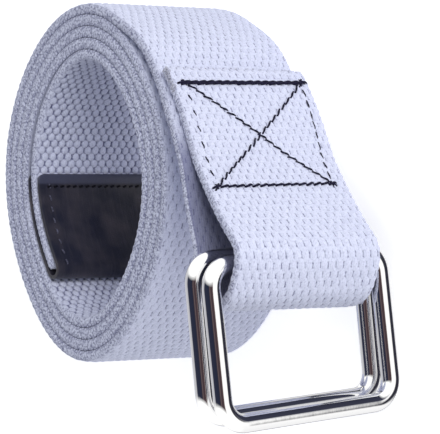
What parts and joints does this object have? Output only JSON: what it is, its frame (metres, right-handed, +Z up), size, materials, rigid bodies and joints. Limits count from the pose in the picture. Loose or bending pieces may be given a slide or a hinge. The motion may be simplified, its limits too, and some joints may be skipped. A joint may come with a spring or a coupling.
{
  "type": "double ring belt",
  "caption": "Rolled canvas webbing belt with rectangular wire rings held in its sewn end loop, and a leather tip folded over its free end.",
  "frame": {"origin": "on the floor under the middle of the belt's bounding box", "axes": "+Z up, along the width of the webbing, which stands on its long edge; +X from the coil towards the rings; +Y away from the free side of the rings"},
  "size_m": [0.1078, 0.0888, 0.0504],
  "materials": {
    "webbing": "undyed off-white cotton canvas webbing, matte",
    "leather": "black smooth leather, semi-gloss",
    "chrome": "bright chrome plate"
  },
  "bodies": {
    "belt": {"webbing_strap": "webbing", "leather_tip": "leather"},
    "front_ring": {"ring_front": "chrome"},
    "back_ring": {"ring_back": "chrome"}
  },
  "joints": [
    {"name": "front_ring_swing", "type": "hinge", "parent": "belt", "child": "front_ring", "pos_m": [0.04711, -0.00838, 0.0264], "axis": [0.01, -0.0708, 0.9974], "range_deg": [0, 75]},
    {"name": "back_ring_swing", "type": "hinge", "parent": "belt", "child": "back_ring", "pos_m": [0.04113, -0.0078, 0.0264], "axis": [0.0087, -0.071, 0.9974], "range_deg": [-50, 0]}
  ]
}
